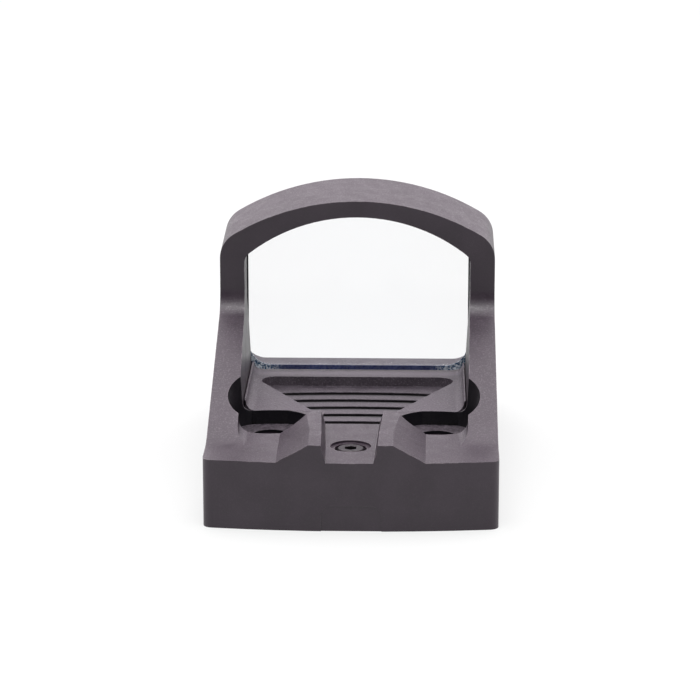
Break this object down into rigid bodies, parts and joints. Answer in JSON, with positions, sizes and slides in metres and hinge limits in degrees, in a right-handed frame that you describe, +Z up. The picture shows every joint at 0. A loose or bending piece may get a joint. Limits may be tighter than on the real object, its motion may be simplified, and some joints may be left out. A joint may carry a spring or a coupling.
{
  "type": "red_dot_finder",
  "caption": "Compact open reflex sight with an arched lens hood, eye notch, moulded light channel, adjusting screws and a coin cell in the base",
  "frame": {"origin": "middle of the footprint, on the underside of the housing", "axes": "+X right for the eye behind the sight, +Y forward to the target, +Z up"},
  "size_m": [0.024, 0.041, 0.0224],
  "materials": {
    "anodised_black": "hard anodised black, fine matt blast texture, slightly worn edges",
    "moulded_black": "grained black moulding",
    "coated_glass": "clear lens with a faint blue reflective coat",
    "adhesive": "cured optical adhesive with small bubbles",
    "clear_window": "small clear window",
    "emitter_red": "light emitting diode in clear resin",
    "machined_brass": "machined and plated",
    "bright_steel": "ground steel",
    "black_steel": "blackened steel, bright where the tool rubs",
    "cell_steel": "nickel plated, finely brushed",
    "board_green": "solder mask over glass laminate",
    "chip_black": "moulded epoxy",
    "capacitor_tan": "ceramic body with tinned ends",
    "amber_film": "amber polyimide film",
    "seal_rubber": "soft black rubber"
  },
  "bodies": {
    "root": {"housing": "anodised_black", "deck_insert": "moulded_black", "lens": "coated_glass", "lens_adhesive": "adhesive", "emitter_window": "clear_window", "windage_screw_clip": "black_steel", "windage_spring": "bright_steel", "mechanism_cover": "anodised_black", "cover_screw_1": "black_steel", "cover_screw_2": "black_steel", "negative_contact": "machined_brass", "positive_contact": "machined_brass", "circuit_board": "board_green", "driver_chip": "chip_black", "capacitor": "capacitor_tan", "emitter_lead": "amber_film", "light_sensor": "chip_black", "sensor_window": "clear_window", "sensor_lead": "amber_film", "base_seal": "seal_rubber"},
    "windage_adjuster": {"windage_screw": "black_steel"},
    "windage_slider": {"windage_slide": "bright_steel", "elevation_spring": "bright_steel"},
    "elevation_adjuster": {"elevation_screw": "black_steel", "elevation_screw_clip": "bright_steel"},
    "emitter_carriage": {"elevation_carriage": "machined_brass", "led_emitter": "emitter_red"},
    "cell": {"coin_cell": "cell_steel"}
  },
  "joints": [
    {"name": "windage_screw_turn", "type": "hinge", "parent": "root", "child": "windage_adjuster", "pos_m": [0.01135, -0.0133, 0.0039], "axis": [1, 0, 0], "range_deg": [-135.1, 135.1]},
    {"name": "windage_travel", "type": "slide", "parent": "root", "child": "windage_slider", "axis": [1, 0, 0], "range_m": [-0.00015, 0.00015]},
    {"name": "elevation_screw_turn", "type": "hinge", "parent": "windage_slider", "child": "elevation_adjuster", "pos_m": [-0.0001, -0.0156, 0.0056], "axis": [0, 0, 1], "range_deg": [-135.1, 135.1]},
    {"name": "elevation_travel", "type": "slide", "parent": "windage_slider", "child": "emitter_carriage", "axis": [0, 0, 1], "range_m": [-0.00015, 0.00015], "deforming": ["elevation_spring"]},
    {"name": "cell_removal", "type": "slide", "parent": "root", "child": "cell", "axis": [0, 0, -1], "range_m": [0, 0.005]}
  ],
  "couplings": [
    {"joint": "windage_screw_turn", "follows": "windage_travel", "rad_per_m": 15708},
    {"joint": "elevation_screw_turn", "follows": "elevation_travel", "rad_per_m": 15708}
  ]
}
